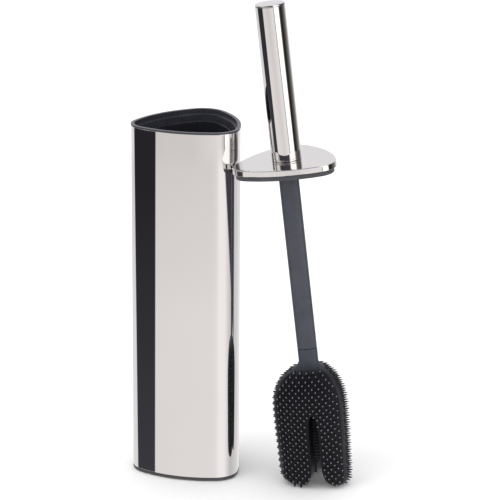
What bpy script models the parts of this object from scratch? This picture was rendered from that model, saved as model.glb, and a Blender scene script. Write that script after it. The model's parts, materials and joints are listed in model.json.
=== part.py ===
"""Free-standing toilet brush and its holder.

The holder is a rounded-triangular steel sleeve with a plastic rim, a lift-out
bucket and a weighted base.  The brush has a steel handle and lid, an oval
plastic shaft and a three-lobed silicone head.  It stands on its head beside
the holder, leaning so that a corner of its lid is next to the sleeve.

Metres, +Z up.  The holder's axis is the world Z axis and one of its three flat
sides faces -Y.
"""
import math

import bmesh
import bpy
from mathutils import Matrix, Vector

# ---- plan of the holder and lid: an equilateral triangle with rounded corners
PLAN_CORE = 0.0299          # centre to each corner circle's centre
PLAN_CORNER_R = 0.0200      # outside of the steel
PLAN_SIDE_R = 0.0910        # the slightly bowed sides
PLAN_CORNER_STEPS = 9
PLAN_SIDE_STEPS = 5
GAP = 0.0003                # between pieces that touch

# ---- holder
HOLDER_TOP = 0.3020
SLEEVE_WALL = 0.0006
SLEEVE_BOTTOM = 0.0034
RIM_LIP = 0.0020            # height of the lip that covers the sleeve's edge
RIM_OVERHANG = 0.0004
RECESS_INSET = 0.0026       # recess that the lid drops into
RECESS_DEPTH = 0.0044
MOUTH_INSET = 0.0044        # opening inside the ledge
RIM_BOTTOM = 0.2850
BUCKET_INSET = MOUTH_INSET + GAP
BUCKET_WALL = 0.0015
BUCKET_TOP = 0.2920
BUCKET_BOTTOM = 0.0119
PAD_INSET = 0.0040
PAD_THICK = 0.0010
TRAY_FLOOR = 0.0013
TRAY_FLOOR_TOP = 0.0033
TRAY_TOP = 0.0200
BALLAST_BOTTOM = 0.0036
BALLAST_TOP = 0.0116
SCREW_CIRCLE_R = 0.0230
SCREW_R = 0.0020
SCREW_HEAD_R = 0.0040
SCREW_HEAD_H = 0.0022

# ---- brush, heights measured along its own axis from the bristle tips
LID_INSET = 0.00324
LID_BOTTOM = 0.2741
LID_TOP = 0.2782
LID_MARGIN = 0.0060         # the lid's edge falls away gently over this width
LID_FALL = 0.0004
LID_SHEET = 0.0008
PLUG_INSET = 0.00546
PLUG_BOTTOM = 0.2696
HANDLE_R = 0.01225
HANDLE_WALL = 0.0008
HANDLE_TOP = 0.4068
RING_H = 0.0012
STUD_R = 0.0040
STUD_SPAN = (0.2550, 0.3030)
NUT_FLATS = 0.0130
NUT_H = 0.0065
SHAFT_HALF = (0.0082, 0.0053)     # half width and half depth of the oval
SHAFT_BOTTOM = 0.1159
SPIGOT_R = 0.0039
SPIGOT_TOP = 0.1310

# ---- silicone head
HEAD_CORE = 0.0200
HEAD_CORNER_R = 0.0123
HEAD_SIDE_R = 0.0612
# height, size relative to the full plan, blend from the shaft's oval to the plan
HEAD_SHAPE = (
    (0.1156, 0.30, 0.00), (0.1066, 0.30, 0.00), (0.1040, 0.31, 0.15), (0.1015, 0.41, 0.50),
    (0.0988, 0.55, 0.80), (0.0958, 0.67, 0.93), (0.0913, 0.79, 1.00), (0.0861, 0.885, 1.00),
    (0.0808, 0.95, 1.00), (0.0746, 0.985, 1.00), (0.0672, 1.00, 1.00), (0.0495, 0.99, 1.00),
    (0.0317, 0.97, 1.00), (0.0139, 0.955, 1.00), (0.0085, 0.945, 1.00), (0.0050, 0.91, 1.00),
    (0.0026, 0.85, 1.00), (0.0013, 0.79, 1.00), (0.0009, 0.73, 1.00),
)
HEAD_STEPS = 48
# the soft head gives under the leaning brush: a shift at the shoulder, then a bend that
# brings all three lobes down to the floor
HEAD_SHOULDER = (0.1060, 0.0850)
HEAD_SHIFT = 0.0013
HEAD_SLOPE = 0.0248
HEAD_SETTLE = 0.112
SETTLE_FROM = 0.0192
HOLLOW_R = 0.0135
HOLLOW_TOP = 0.0740
# half width and height of the slot between two lobes
SLOT_SHAPE = ((0.0008, 0.0640), (0.0021, 0.0622), (0.0032, 0.0585), (0.0038, 0.0530),
              (0.0040, 0.0350), (0.0042, 0.0180), (0.0049, 0.0115), (0.0065, 0.0075),
              (0.0089, 0.0040), (0.0119, 0.0012), (0.0134, -0.0060))
SLOT_OFFSET = 0.0035              # to one side of the middle of the face
SLOT_SLANT = math.radians(8)
BRISTLE_R = 0.0009
BRISTLE_TIP = 0.0000
# angle from the lobe's middle and distance from the axis
LOBE_BRISTLES = ((0.05, 0.0212), (0.34, 0.0212), (0.20, 0.0185), (0.20, 0.0238))

# ---- where the brush stands
BRUSH_FOOT = (0.11637, -0.00040, 0.00265)
BRUSH_LEAN = math.radians(6.603)
BRUSH_LEAN_TOWARDS = math.radians(198.20)
BRUSH_SPIN = math.radians(8.626)

PARTS = "toilet_brush_and_holder"
CUTTERS = "cutters"


# ------------------------------------------------------------------ scene set-up
def clear_scene():
    for obj in list(bpy.data.objects):
        bpy.data.objects.remove(obj, do_unlink=True)
    for name in (PARTS, CUTTERS):
        bpy.context.scene.collection.children.link(bpy.data.collections.new(name))


def material(name, colour, metallic=0.0, roughness=0.4):
    mat = bpy.data.materials.new(name)
    mat.use_nodes = True
    shader = mat.node_tree.nodes["Principled BSDF"]
    shader.inputs["Base Color"].default_value = (*colour, 1.0)
    shader.inputs["Metallic"].default_value = metallic
    shader.inputs["Roughness"].default_value = roughness
    return mat


def add_object(name, bm, mat=None, parent=None):
    bmesh.ops.remove_doubles(bm, verts=bm.verts, dist=1e-7)
    bmesh.ops.recalc_face_normals(bm, faces=bm.faces)
    mesh = bpy.data.meshes.new(name)
    bm.to_mesh(mesh)
    bm.free()
    obj = bpy.data.objects.new(name, mesh)
    is_cutter = mat is None
    bpy.data.collections[CUTTERS if is_cutter else PARTS].objects.link(obj)
    if is_cutter:
        obj.hide_render = True
        obj.display_type = "WIRE"
    else:
        mesh.materials.append(mat)
    obj.parent = parent
    return obj


def add_empty(name, matrix, parent=None):
    empty = bpy.data.objects.new(name, None)
    bpy.data.collections[PARTS].objects.link(empty)
    empty.empty_display_size = 0.02
    empty.parent = parent
    empty.matrix_local = matrix
    return empty


def boolean(obj, tool, operation="DIFFERENCE"):
    mod = obj.modifiers.new(operation.lower(), "BOOLEAN")
    mod.operation = operation
    mod.solver = "EXACT"
    mod.object = tool
    return mod


# ------------------------------------------------------------------ shape helpers
def arc(centre, radius, start, end, steps):
    """Points from start towards end, leaving out the end."""
    return [
        (centre[0] + radius * math.cos(start + (end - start) * i / steps),
         centre[1] + radius * math.sin(start + (end - start) * i / steps))
        for i in range(steps)
    ]


def side_centre_distance(core, corner_r, side_r):
    """How far behind the centre each bowed side's own centre lies."""
    reach = side_r - corner_r
    return -core / 2 + math.sqrt(reach * reach - 0.75 * core * core)


def plan_outline(inset=0.0):
    """Rounded triangle with a side towards -Y, inset from the steel's outside."""
    corner_r, side_r = PLAN_CORNER_R - inset, PLAN_SIDE_R - inset
    back = side_centre_distance(PLAN_CORE, PLAN_CORNER_R, PLAN_SIDE_R)
    half_side = math.asin(0.5 * math.sqrt(3) * PLAN_CORE / (PLAN_SIDE_R - PLAN_CORNER_R))
    points = []
    for k in range(3):
        corner = math.radians(210 + 120 * k)
        centre = (PLAN_CORE * math.cos(corner), PLAN_CORE * math.sin(corner))
        turn = math.radians(60) - half_side
        points += arc(centre, corner_r, corner - turn, corner + turn, PLAN_CORNER_STEPS)
        side = math.radians(270 + 120 * k)
        centre = (-back * math.cos(side), -back * math.sin(side))
        points += arc(centre, side_r, side - half_side, side + half_side, PLAN_SIDE_STEPS)
    return points


def head_radius(angle):
    """Distance from the head's axis to its full plan in one direction."""
    back = side_centre_distance(HEAD_CORE, HEAD_CORNER_R, HEAD_SIDE_R)
    sector = math.radians(120)
    off = (angle - math.radians(90) + sector / 2) % sector - sector / 2
    half_side = math.asin(0.5 * math.sqrt(3) * HEAD_CORE / (HEAD_SIDE_R - HEAD_CORNER_R))
    tangent = Vector((HEAD_SIDE_R * math.cos(half_side) - back, HEAD_SIDE_R * math.sin(half_side)))
    corner_reach = math.radians(60) - math.atan2(tangent.y, tangent.x)
    if abs(off) < corner_reach:
        across = HEAD_CORE * math.sin(off)
        return HEAD_CORE * math.cos(off) + math.sqrt(HEAD_CORNER_R ** 2 - across ** 2)
    turn = math.radians(60) - abs(off)
    return -back * math.cos(turn) + math.sqrt(HEAD_SIDE_R ** 2 - (back * math.sin(turn)) ** 2)


def oval_radius(angle):
    """The shaft's oval, a super-ellipse with fuller flat faces."""
    a, b = SHAFT_HALF
    n = 2.6
    return (abs(math.cos(angle) / a) ** n + abs(math.sin(angle) / b) ** n) ** (-1 / n)


def loft(rings, closed=False):
    """Skin a row of rings: joined end to end, or with both ends capped flat."""
    bm = bmesh.new()
    rows = [[bm.verts.new(point) for point in ring] for ring in rings]
    count = len(rows[0])
    pairs = list(zip(rows, rows[1:]))
    if closed:
        pairs.append((rows[-1], rows[0]))
    for low, high in pairs:
        for i in range(count):
            j = (i + 1) % count
            bm.faces.new((low[i], low[j], high[j], high[i]))
    if not closed:
        bm.faces.new(rows[0])
        bm.faces.new(rows[-1])
    return bm


def plan_body(section, closed=False):
    """Carry a section of (inset, height) pairs round the triangular plan."""
    return loft([[(x, y, z) for x, y in plan_outline(inset)] for inset, z in section], closed)


def turned_body(section, steps, closed=False):
    """Carry a section of (radius, height) pairs round a circle."""
    turns = [2 * math.pi * i / steps for i in range(steps)]
    return loft([[(r * math.cos(t), r * math.sin(t), z) for t in turns] for r, z in section], closed)


def rounded_edge(radius, height, fillet, steps=4):
    """Section points over an outer top edge, from the wall to the top face."""
    return [
        (radius - fillet + fillet * math.cos(a), height - fillet + fillet * math.sin(a))
        for a in (math.pi / 2 * i / steps for i in range(steps + 1))
    ]


def rod_cutter(name, radius, low, high, at=(0.0, 0.0), parent=None, steps=24):
    cutter = add_object(name, turned_body([(radius, low), (radius, high)], steps), parent=parent)
    cutter.location = (at[0], at[1], 0.0)
    return cutter


# ------------------------------------------------------------------ holder
def non_slip_pad():
    section = [(PAD_INSET + 0.0003, 0.0), (PAD_INSET, 0.0003), (PAD_INSET, PAD_THICK)]
    rubber = material("pad_rubber", (0.03, 0.03, 0.03), 0, 0.8)
    add_object("non_slip_pad", plan_body(section), rubber)


def screw_positions():
    for k in range(3):
        angle = math.radians(90 + 120 * k)
        yield k + 1, SCREW_CIRCLE_R * math.cos(angle), SCREW_CIRCLE_R * math.sin(angle)


def base_tray():
    band_top = SLEEVE_BOTTOM - GAP
    inner = SLEEVE_WALL + GAP
    section = [
        (PAD_INSET - GAP, TRAY_FLOOR), (PAD_INSET - GAP, 0.0006), (0.0004, 0.0006), (0.0, 0.0010),
        (0.0, band_top), (inner, band_top), (inner, TRAY_TOP - 0.001), (inner + 0.0008, TRAY_TOP),
        (MOUTH_INSET, TRAY_TOP), (MOUTH_INSET, TRAY_FLOOR_TOP),
    ]
    plastic = material("tray_plastic", (0.05, 0.05, 0.055), 0, 0.5)
    tray = add_object("base_tray", plan_body(section), plastic)
    for k, x, y in screw_positions():
        boolean(tray, rod_cutter(f"tray_hole_{k}", SCREW_R + GAP, 0.0, 0.006, (x, y), steps=16))


def ballast_plate():
    inset = MOUTH_INSET + GAP
    section = [(inset + 0.0006, BALLAST_BOTTOM), (inset, BALLAST_BOTTOM + 0.0006),
               (inset, BALLAST_TOP - 0.0006), (inset + 0.0006, BALLAST_TOP)]
    iron = material("ballast_iron", (0.2, 0.2, 0.2), 1, 0.6)
    plate = add_object("ballast_plate", plan_body(section), iron)
    bore, seat = SCREW_R + GAP, SCREW_HEAD_R + GAP
    floor = BALLAST_TOP - SCREW_HEAD_H - 2 * GAP
    for k, x, y in screw_positions():
        section = [(bore, 0.0), (bore, floor), (seat, floor), (seat, 0.02)]
        cutter = add_object(f"ballast_hole_{k}", turned_body(section, 24))
        cutter.location = (x, y, 0.0)
        boolean(plate, cutter)


def base_screws():
    seat = BALLAST_TOP - SCREW_HEAD_H - GAP
    top = seat + SCREW_HEAD_H
    shank = [(SCREW_R - 0.0006, 0.0016), (SCREW_R, 0.0024), (SCREW_R, seat), (SCREW_HEAD_R, seat)]
    for k, x, y in screw_positions():
        section = shank + rounded_edge(SCREW_HEAD_R, top, 0.0010, 3)
        screw = add_object(f"base_screw_{k}", turned_body(section, 16),
                           material(f"screw_steel_{k}", (0.6, 0.6, 0.6), 1, 0.3))
        screw.location = (x, y, 0.0)
        recess = turned_body([(0.0015, top - 0.0013), (0.0015, top + 0.001)], 6)
        drive = add_object(f"drive_recess_{k}", recess)
        drive.location = (x, y, 0.0)
        boolean(screw, drive)


def outer_sleeve():
    top = HOLDER_TOP - RIM_LIP - GAP
    section = [(0.0, SLEEVE_BOTTOM), (0.0, top), (SLEEVE_WALL, top), (SLEEVE_WALL, SLEEVE_BOTTOM)]
    add_object("outer_sleeve", plan_body(section, closed=True),
               material("sleeve_steel", (0.80, 0.79, 0.77), 1, 0.05))


def rim_ring():
    lip = HOLDER_TOP - RIM_LIP
    ledge = HOLDER_TOP - RECESS_DEPTH
    inside = SLEEVE_WALL + GAP
    section = [
        (-RIM_OVERHANG, lip), (-RIM_OVERHANG, HOLDER_TOP - 0.0006), (-RIM_OVERHANG + 0.0005, HOLDER_TOP),
        (RECESS_INSET - 0.0004, HOLDER_TOP), (RECESS_INSET, HOLDER_TOP - 0.0004), (RECESS_INSET, ledge),
        (MOUTH_INSET, ledge), (MOUTH_INSET, RIM_BOTTOM), (inside + 0.0006, RIM_BOTTOM),
        (inside, RIM_BOTTOM + 0.001), (inside, lip),
    ]
    add_object("rim_ring", plan_body(section, closed=True),
               material("rim_plastic", (0.09, 0.09, 0.10), 0, 0.4))


def inner_bucket():
    outside, inside = BUCKET_INSET, BUCKET_INSET + BUCKET_WALL
    floor = BUCKET_BOTTOM + 0.002
    section = [
        (outside + 0.0015, BUCKET_BOTTOM), (outside, BUCKET_BOTTOM + 0.0015), (outside, BUCKET_TOP - 0.0003),
        (outside + 0.0003, BUCKET_TOP), (inside - 0.0003, BUCKET_TOP), (inside, BUCKET_TOP - 0.0003),
        (inside, floor + 0.002), (inside + 0.002, floor),
    ]
    plastic = material("bucket_plastic", (0.07, 0.07, 0.08), 0, 0.5)
    add_object("inner_bucket", plan_body(section), plastic)


# ------------------------------------------------------------------ brush: lid and handle
def lid_plate(brush):
    inner = LID_INSET + LID_SHEET
    edge = LID_TOP - LID_FALL
    section = [(LID_INSET + LID_MARGIN, LID_TOP - LID_SHEET), (inner + 0.0003, edge - LID_SHEET),
               (inner, edge - LID_SHEET - 0.0003), (inner, LID_BOTTOM), (LID_INSET, LID_BOTTOM),
               (LID_INSET, edge - 0.0006), (LID_INSET + 0.0003, edge - 0.0002),
               (LID_INSET + 0.0012, edge), (LID_INSET + 0.0035, LID_TOP - 0.25 * LID_FALL),
               (LID_INSET + LID_MARGIN, LID_TOP)]
    steel = material("lid_steel", (0.80, 0.79, 0.77), 1, 0.05)
    lid = add_object("lid_plate", plan_body(section), steel, brush)
    boolean(lid, rod_cutter("lid_hole", STUD_R + GAP, LID_BOTTOM, LID_TOP + 0.001, parent=brush))


def lid_plug(brush):
    upper = LID_INSET + LID_SHEET + GAP
    section = [(PLUG_INSET + 0.0005, PLUG_BOTTOM), (PLUG_INSET, PLUG_BOTTOM + 0.0005),
               (PLUG_INSET, LID_BOTTOM), (upper, LID_BOTTOM),
               (upper, LID_TOP - LID_FALL - LID_SHEET - 2 * GAP),
               (LID_INSET + LID_MARGIN, LID_TOP - LID_SHEET - GAP)]
    plastic = material("plug_plastic", (0.09, 0.09, 0.10), 0, 0.4)
    plug = add_object("lid_plug", plan_body(section), plastic, brush)
    boolean(plug, rod_cutter("plug_hole", STUD_R + GAP, PLUG_BOTTOM - 0.001, LID_TOP, parent=brush))


def tie_stud(brush):
    low, high = STUD_SPAN
    section = [(STUD_R - 0.0007, low), (STUD_R, low + 0.0007),
               (STUD_R, high - 0.0007), (STUD_R - 0.0007, high)]
    steel = material("stud_steel", (0.6, 0.6, 0.6), 1, 0.3)
    add_object("tie_stud", turned_body(section, 24), steel, brush)


def stud_washer(brush):
    low = LID_TOP + GAP
    high = low + 0.0012
    section = [(STUD_R + GAP, low), (0.0080, low), (0.0080, high), (STUD_R + GAP, high)]
    add_object("stud_washer", turned_body(section, 32, closed=True),
               material("washer_steel", (0.6, 0.6, 0.6), 1, 0.3), brush)


def stud_nut(brush):
    low = LID_TOP + 2 * GAP + 0.0012
    corner = NUT_FLATS / math.sqrt(3)
    section = [(corner, low), (corner, low + NUT_H)]
    steel = material("nut_steel", (0.6, 0.6, 0.6), 1, 0.3)
    nut = add_object("stud_nut", turned_body(section, 6), steel, brush)
    bore = rod_cutter("nut_bore", STUD_R + GAP, low - 0.001, low + NUT_H + 0.001, parent=brush)
    boolean(nut, bore)


def handle_ring(brush):
    low = LID_TOP + GAP
    outer = HANDLE_R + 0.00015
    high = low + RING_H
    section = [(0.0092, low), (outer, low), (outer, high - 0.0003), (outer - 0.0003, high),
               (0.0092, high)]
    add_object("handle_ring", turned_body(section, 48, closed=True),
               material("ring_steel", (0.75, 0.75, 0.74), 1, 0.15), brush)


def handle_bottom():
    return LID_TOP + RING_H + 2 * GAP


def handle_tube(brush):
    low, high = handle_bottom(), HANDLE_TOP - 0.0015 - GAP
    inner = HANDLE_R - HANDLE_WALL
    section = [(inner, low), (HANDLE_R, low), (HANDLE_R, high), (inner, high)]
    add_object("handle_tube", turned_body(section, 48, closed=True),
               material("handle_steel", (0.80, 0.79, 0.77), 1, 0.08), brush)


def handle_insert(brush):
    low = handle_bottom()
    high = low + 0.025
    outer, bore = HANDLE_R - HANDLE_WALL - GAP, STUD_R + GAP
    pocket = NUT_FLATS / math.sqrt(3) + 0.0006
    section = [(pocket, low), (outer, low), (outer, high), (bore, high), (bore, low + 0.0090),
               (pocket, low + 0.0080)]
    add_object("handle_insert", turned_body(section, 32, closed=True),
               material("insert_plastic", (0.05, 0.05, 0.05), 0, 0.5), brush)


def handle_cap(brush):
    spigot = HANDLE_R - HANDLE_WALL - GAP
    seat = HANDLE_TOP - 0.0015
    section = [(spigot - 0.0006, seat - 0.010), (spigot, seat - 0.0094), (spigot, seat),
               (HANDLE_R, seat)]
    section += rounded_edge(HANDLE_R, HANDLE_TOP, 0.0010, 4)
    steel = material("cap_steel", (0.80, 0.79, 0.77), 1, 0.08)
    add_object("handle_cap", turned_body(section, 48), steel, brush)


# ------------------------------------------------------------------ brush: shaft and head
def shaft(brush):
    turns = [2 * math.pi * i / 40 for i in range(40)]

    def ring(z, scale=1.0):
        radii = [scale * oval_radius(t) for t in turns]
        return [(r * math.cos(t), r * math.sin(t), z) for r, t in zip(radii, turns)]

    high = PLUG_BOTTOM - GAP
    rings = [ring(SHAFT_BOTTOM, 0.96), ring(SHAFT_BOTTOM + 0.0003), ring(high - 0.0003), ring(high, 0.96)]
    plastic = material("shaft_plastic", (0.08, 0.085, 0.10), 0, 0.4)
    bar = add_object("shaft", loft(rings), plastic, brush)
    upper = rod_cutter("stud_socket", STUD_R + GAP, STUD_SPAN[0] - GAP, high + 0.001, parent=brush)
    lower = rod_cutter("spigot_socket", SPIGOT_R + GAP, SHAFT_BOTTOM - 0.001, SPIGOT_TOP + GAP,
                       parent=brush)
    boolean(bar, upper)
    boolean(bar, lower)


def core_section(grow=0.0):
    """Spigot with two retaining discs, from the bottom up."""
    rod, low_disc, high_disc = SPIGOT_R + grow, 0.0100 + grow, 0.0075 + grow
    return [
        (low_disc, 0.0820 - grow), (low_disc, 0.0850 + grow), (rod, 0.0850 + grow), (rod, 0.0910 - grow),
        (high_disc, 0.0910 - grow), (high_disc, 0.0935 + grow), (rod, 0.0935 + grow),
    ]


def head_core(head):
    section = core_section() + [(SPIGOT_R, SPIGOT_TOP - 0.0006), (SPIGOT_R - 0.0006, SPIGOT_TOP)]
    plastic = material("core_plastic", (0.12, 0.12, 0.13), 0, 0.5)
    add_object("head_core", turned_body(section, 32), plastic, head)


def head_flex(z):
    """Sideways shift of the soft head at one height."""
    high, low = HEAD_SHOULDER
    t = min(1.0, max(0.0, (high - z) / (high - low)))
    return HEAD_SHIFT * t * t * (3 - 2 * t) + HEAD_SLOPE * max(0.0, low - z)


def flexed(x, y, z):
    """Where a point of the straight head goes when the brush leans on it."""
    uphill = BRUSH_LEAN_TOWARDS - BRUSH_SPIN + math.pi
    reach = x * math.cos(uphill) + y * math.sin(uphill) + SETTLE_FROM
    bend = min(1.0, max(0.0, 1 - z / HEAD_SHOULDER[1]))
    return x - head_flex(z), y, z - HEAD_SETTLE * bend * reach


def head_ring(z, size, blend):
    ring = []
    for i in range(HEAD_STEPS):
        angle = 2 * math.pi * i / HEAD_STEPS
        radius = (1 - blend) * oval_radius(angle) + blend * size * head_radius(angle)
        ring.append(flexed(radius * math.cos(angle), radius * math.sin(angle), z))
    return ring


def slot_cutter(k, head):
    """Cutter that parts two lobes, opening downwards and outwards."""
    outline = [(-w, z) for w, z in SLOT_SHAPE] + [(w, z) for w, z in reversed(SLOT_SHAPE)]
    mouth = Vector((SLOT_OFFSET, -head_radius(math.radians(-90)), 0.0))
    inwards = Vector((math.sin(SLOT_SLANT), math.cos(SLOT_SLANT), 0.0))
    across = Vector((inwards.y, -inwards.x, 0.0))
    turn = Matrix.Rotation(math.radians(120 * k), 3, "Z")

    def ring(depth):
        middle = mouth + depth * inwards
        points = [turn @ (middle + w * across + Vector((0.0, 0.0, z))) for w, z in outline]
        return [flexed(*point) for point in points]

    return add_object(f"slot_{k}", loft([ring(-0.020), ring(0.0215)]), parent=head)


def hollow_cutter(head):
    dome = [(HOLLOW_R * 0.45, HOLLOW_TOP), (HOLLOW_R * 0.85, HOLLOW_TOP - 0.003),
            (HOLLOW_R, HOLLOW_TOP - 0.008), (HOLLOW_R, 0.040), (HOLLOW_R, 0.015),
            (HOLLOW_R, -0.010)]
    turns = [2 * math.pi * i / 24 for i in range(24)]
    rings = [[flexed(r * math.cos(t), r * math.sin(t), z) for t in turns] for r, z in dome]
    return add_object("head_hollow", loft(rings), parent=head)


def lobe_bristle(name, angle, radius, head):
    """One of the bristles under a lobe, the ones the brush stands on."""
    bm = turned_body([(BRISTLE_R, 0.0040), (BRISTLE_R, 0.0015), (0.0002, BRISTLE_TIP)], 8)
    bristle = add_object(name, bm, parent=head)
    bristle.location = flexed(radius * math.cos(angle), radius * math.sin(angle), 0.0)
    return bristle


def head_skin(head):
    skin = add_object("head_skin", loft([head_ring(*row) for row in HEAD_SHAPE]),
                      material("head_silicone", (0.10, 0.105, 0.125), 0, 0.5), head)
    boolean(skin, hollow_cutter(head))
    for k in range(3):
        boolean(skin, slot_cutter(k, head))
    pocket = core_section(GAP) + [(SPIGOT_R + GAP, SHAFT_BOTTOM + 0.001)]
    boolean(skin, add_object("core_pocket", turned_body(pocket, 32), parent=head))
    for lobe in range(3):
        corner = math.radians(90 + 120 * lobe)
        for n, (turn, radius) in enumerate(LOBE_BRISTLES):
            bristle = lobe_bristle(f"bristle_{lobe}_{n}", corner + turn, radius, head)
            boolean(skin, bristle, "UNION")


def brush_frame():
    lean_axis = Vector((-math.sin(BRUSH_LEAN_TOWARDS), math.cos(BRUSH_LEAN_TOWARDS), 0.0))
    return (Matrix.Translation(BRUSH_FOOT) @ Matrix.Rotation(BRUSH_LEAN, 4, lean_axis)
            @ Matrix.Rotation(BRUSH_SPIN, 4, "Z"))


def main():
    clear_scene()
    non_slip_pad()
    base_tray()
    ballast_plate()
    base_screws()
    outer_sleeve()
    rim_ring()
    inner_bucket()
    brush = add_empty("brush_axis", brush_frame())
    lid_plate(brush)
    lid_plug(brush)
    tie_stud(brush)
    stud_washer(brush)
    stud_nut(brush)
    handle_ring(brush)
    handle_tube(brush)
    handle_insert(brush)
    handle_cap(brush)
    shaft(brush)
    head_core(brush)
    head_skin(brush)


main()
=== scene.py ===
"""Looks of a free-standing toilet brush holder and the brush that leans beside it.

The holder's pieces are carried round one rounded-triangular plan.  The brush is
made upright in its own frame and then placed on the leaning axis that the
record's head_twist joint gives.  The soft head is made straight, given its
slots and bristles, and then bent as it is under the brush's weight.

Metres, +Z up.
"""
import functools
import json
import math

import bmesh
import bpy
from mathutils import Matrix, Vector
from mathutils.bvhtree import BVHTree


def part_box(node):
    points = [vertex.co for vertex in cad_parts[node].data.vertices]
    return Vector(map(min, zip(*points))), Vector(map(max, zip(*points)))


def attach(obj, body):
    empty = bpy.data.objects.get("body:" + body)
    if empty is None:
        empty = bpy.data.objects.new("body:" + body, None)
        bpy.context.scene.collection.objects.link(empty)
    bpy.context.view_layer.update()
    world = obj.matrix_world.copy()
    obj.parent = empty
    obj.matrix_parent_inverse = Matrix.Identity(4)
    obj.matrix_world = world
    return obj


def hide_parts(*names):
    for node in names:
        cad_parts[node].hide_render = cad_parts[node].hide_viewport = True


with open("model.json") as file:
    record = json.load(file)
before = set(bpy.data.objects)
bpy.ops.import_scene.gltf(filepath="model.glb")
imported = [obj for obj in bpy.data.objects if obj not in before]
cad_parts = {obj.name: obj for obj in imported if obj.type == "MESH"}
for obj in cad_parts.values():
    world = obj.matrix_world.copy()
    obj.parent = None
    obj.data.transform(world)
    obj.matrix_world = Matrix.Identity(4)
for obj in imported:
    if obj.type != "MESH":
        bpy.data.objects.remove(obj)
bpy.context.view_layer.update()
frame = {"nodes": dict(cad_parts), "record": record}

# ---- plan shared by the holder and the lid
PLAN_CORE = 0.0299
PLAN_CORNER_R = 0.0200
PLAN_SIDE_R = 0.0910
CORNER_STEPS = 40
SIDE_STEPS = 40
GAP = 0.0003

# ---- holder, with insets from the sleeve's outside
HOLDER_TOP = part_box("rim_ring")[1].z
SLEEVE_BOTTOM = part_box("outer_sleeve")[0].z
SLEEVE_WALL = 0.0006
RIM_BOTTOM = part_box("rim_ring")[0].z
RIM_LIP = 0.0015
RIM_OVERHANG = 0.0004
RECESS_INSET = 0.0026
RECESS_DEPTH = 0.0044
MOUTH_INSET = 0.0044
BUCKET_INSET = MOUTH_INSET + GAP
BUCKET_WALL = 0.0015
BUCKET_FLOOR = 0.0020
BUCKET_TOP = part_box("inner_bucket")[1].z
BUCKET_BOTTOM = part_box("inner_bucket")[0].z
PAD_INSET = 0.0040
TRAY_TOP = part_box("base_tray")[1].z
TRAY_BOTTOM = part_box("base_tray")[0].z
TRAY_FLOOR = (0.0013, 0.0033)
# where the flat closing faces start, inside their walls
FLAT_INSET = 0.0120

# ---- brush, heights along its own axis from the bristle tips
LID_INSET = 0.00324
LID_FLAT = 0.0100
LID_BOTTOM = 0.2738
LID_TOP = 0.2787
LID_MARGIN = 0.0024
LID_FALL = 0.0002
LID_ROUND = 0.0005
LID_SHEET = 0.0008
PLUG_INSET = 0.00546
PLUG_BOTTOM = 0.2692
HANDLE_R = 0.01225
HANDLE_WALL = 0.0008
HANDLE_TOP = 0.4082
CAP_H = 0.0015
CAP_ROUND = 0.0012
SPIGOT_H = 0.0100
RING_H = 0.0012
RING_BORE_R = 0.0092
TURN_STEPS = 96
SHAFT_HALF = (0.0082, 0.0053)
SHAFT_BOTTOM = 0.1159
OVAL_POWER = 2.6
BRUSH_SPIN = math.radians(8.626)

# ---- silicone head
HEAD_CORE = 0.0200
HEAD_CORNER_R = 0.0123
HEAD_SIDE_R = 0.0612
# height, size relative to the full plan, share of the plan against the shaft's oval
HEAD_SHAPE = (
    (0.1156, 0.30, 0.00), (0.1066, 0.30, 0.00), (0.1040, 0.31, 0.15), (0.1015, 0.41, 0.50),
    (0.0988, 0.55, 0.80), (0.0958, 0.67, 0.93), (0.0913, 0.79, 1.00), (0.0861, 0.885, 1.00),
    (0.0808, 0.95, 1.00), (0.0746, 0.985, 1.00), (0.0672, 1.00, 1.00), (0.0495, 0.99, 1.00),
    (0.0317, 0.97, 1.00), (0.0139, 0.955, 1.00), (0.0085, 0.945, 1.00), (0.0050, 0.91, 1.00),
    (0.0026, 0.85, 1.00), (0.0013, 0.79, 1.00), (0.0009, 0.73, 1.00),
)
HEAD_STEPS = 144
HEAD_ROW_H = 0.0014
RIDGE_H = 0.0005
RIDGE_HALF = 0.0016
HEAD_SHOULDER = (0.1060, 0.0850)
HEAD_SHIFT = 0.0013
HEAD_SLOPE = 0.0248
HEAD_SETTLE = 0.112
SETTLE_FROM = 0.0192
HOLLOW_R = 0.0135
HOLLOW_TOP = 0.0740
RIB_PITCH = 0.0026
RIB_H = 0.0005
SLOT_SHAPE = (
    (0.0008, 0.0640), (0.0021, 0.0622), (0.0032, 0.0585), (0.0038, 0.0530),
    (0.0040, 0.0350), (0.0042, 0.0180), (0.0049, 0.0115), (0.0065, 0.0075),
    (0.0089, 0.0040), (0.0119, 0.0012), (0.0134, -0.0060),
)
SLOT_OFFSET = 0.0035
SLOT_SLANT = math.radians(8)
SLOT_REACH = (-0.0200, 0.0215)
SKIN_VOXEL = 0.0005

# ---- bristles, on a grid with a shorter one in the middle of each square
BRISTLE_ACROSS = 0.0055
BRISTLE_UP = 0.0057
BRISTLE_LONG = 0.0041
BRISTLE_SHORT = 0.0030
BRISTLE_R = 0.0010
BRISTLE_SIDES = 8
BRISTLE_TOP = 0.0985
BRISTLE_PROFILE = ((-0.0006, 1.0), (0.30, 0.80), (0.62, 0.58), (0.88, 0.44), (0.97, 0.30))
DROOP_BELOW = 0.0110
# bare strip beside each ridge, on the two sides of a face
RIDGE_CLEAR = (0.0021, 0.0023)
TAPER_WIDTH = 0.0080
FLOOR_CLEAR = 0.0002

# ---- camera
CAMERA_PLACE = (0.66421, -1.92900, 0.78625)
CAMERA_TURN = (16.26, 17.614, 0.3665)
CAMERA_LENS = 182.5


def clamp(value, low=0.0):
    return min(1.0, max(low, value))


def linked(name, data):
    """A new object in the scene."""
    obj = bpy.data.objects.new(name, data)
    bpy.context.scene.collection.objects.link(obj)
    return obj


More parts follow.
